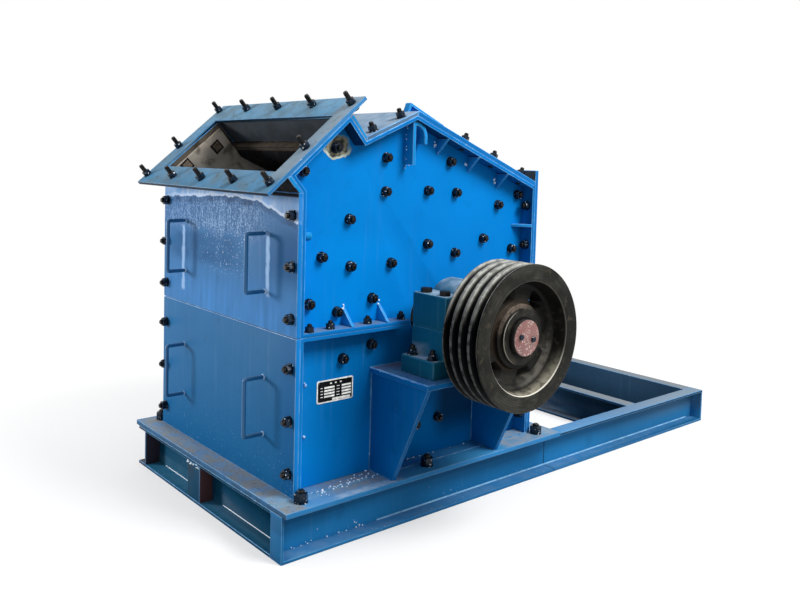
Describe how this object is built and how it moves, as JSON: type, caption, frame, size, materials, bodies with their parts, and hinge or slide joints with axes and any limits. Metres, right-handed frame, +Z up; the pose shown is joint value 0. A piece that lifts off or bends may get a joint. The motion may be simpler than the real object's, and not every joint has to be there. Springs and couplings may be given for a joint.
{
  "type": "hammer crusher",
  "caption": "Hammer crusher: a bolted steel housing with a tilted feed inlet, a rotor with a grooved belt pulley, on a long channel base for its motor.",
  "frame": {"origin": "the point on the ground below the middle of the rotor, in the middle of the discharge", "axes": "+X along the base from the feed end to the motor end, +Y along the rotor's axis away from the pulley, +Z up"},
  "size_m": [2.271, 1.496, 1.3351],
  "materials": {
    "wall_paint": "satin enamel on steel plate",
    "door_paint": "satin enamel with a dull haze",
    "base_paint": "satin enamel on rolled channel, dusty on top",
    "dusty_paint": "enamel under a film of dust",
    "bearing_paint": "teal enamel on cast iron",
    "pulley_iron": "dark machined cast iron",
    "shaft_steel": "turned steel",
    "cap_paint": "dull red primer",
    "liner_steel": "dusty wear-resistant steel",
    "black_plate": "black enamelled plate"
  },
  "bodies": {
    "frame": {"rail_near": "base_paint", "rail_far": "base_paint", "end_beam_feed": "base_paint", "end_beam_post": "base_paint", "end_beam_motor": "base_paint", "cross_beam_body": "base_paint", "cross_beam_mid": "base_paint", "foot_plate": "base_paint", "lower_wall_near": "wall_paint", "lower_wall_far": "wall_paint", "upper_wall_near": "wall_paint", "upper_wall_far": "wall_paint", "door_lower": "door_paint", "door_upper": "door_paint", "handles_lower": "door_paint", "handles_upper": "door_paint", "rear_plate_lower": "wall_paint", "rear_plate_upper": "wall_paint", "inlet_flange": "dusty_paint", "inlet_lip_plate": "wall_paint", "inlet_back_plate": "wall_paint", "valley_roof": "dusty_paint", "main_roof": "dusty_paint", "gussets_near": "wall_paint", "gussets_far": "wall_paint", "lifting_lugs": "wall_paint", "peak_brackets": "wall_paint", "side_liner_near": "liner_steel", "side_liner_far": "liner_steel", "breaker_plate": "liner_steel", "data_plate": "black_plate", "pedestal_near": "base_paint", "pedestal_far": "base_paint", "bearing_base_near": "bearing_paint", "bearing_base_far": "bearing_paint", "bearing_cap_near": "bearing_paint", "bearing_cap_far": "bearing_paint", "bearing_cover_far": "bearing_paint"},
    "rotor": {"shaft": "shaft_steel", "pulley": "pulley_iron", "shaft_end_cap": "cap_paint", "rotor_discs": "liner_steel", "hammer_pins": "shaft_steel", "hammers": "liner_steel"}
  },
  "joints": [
    {"name": "rotor_spin", "type": "hinge", "parent": "frame", "child": "rotor", "pos_m": [0, 0, 0.632], "axis": [0, -1, 0], "continuous": true}
  ]
}
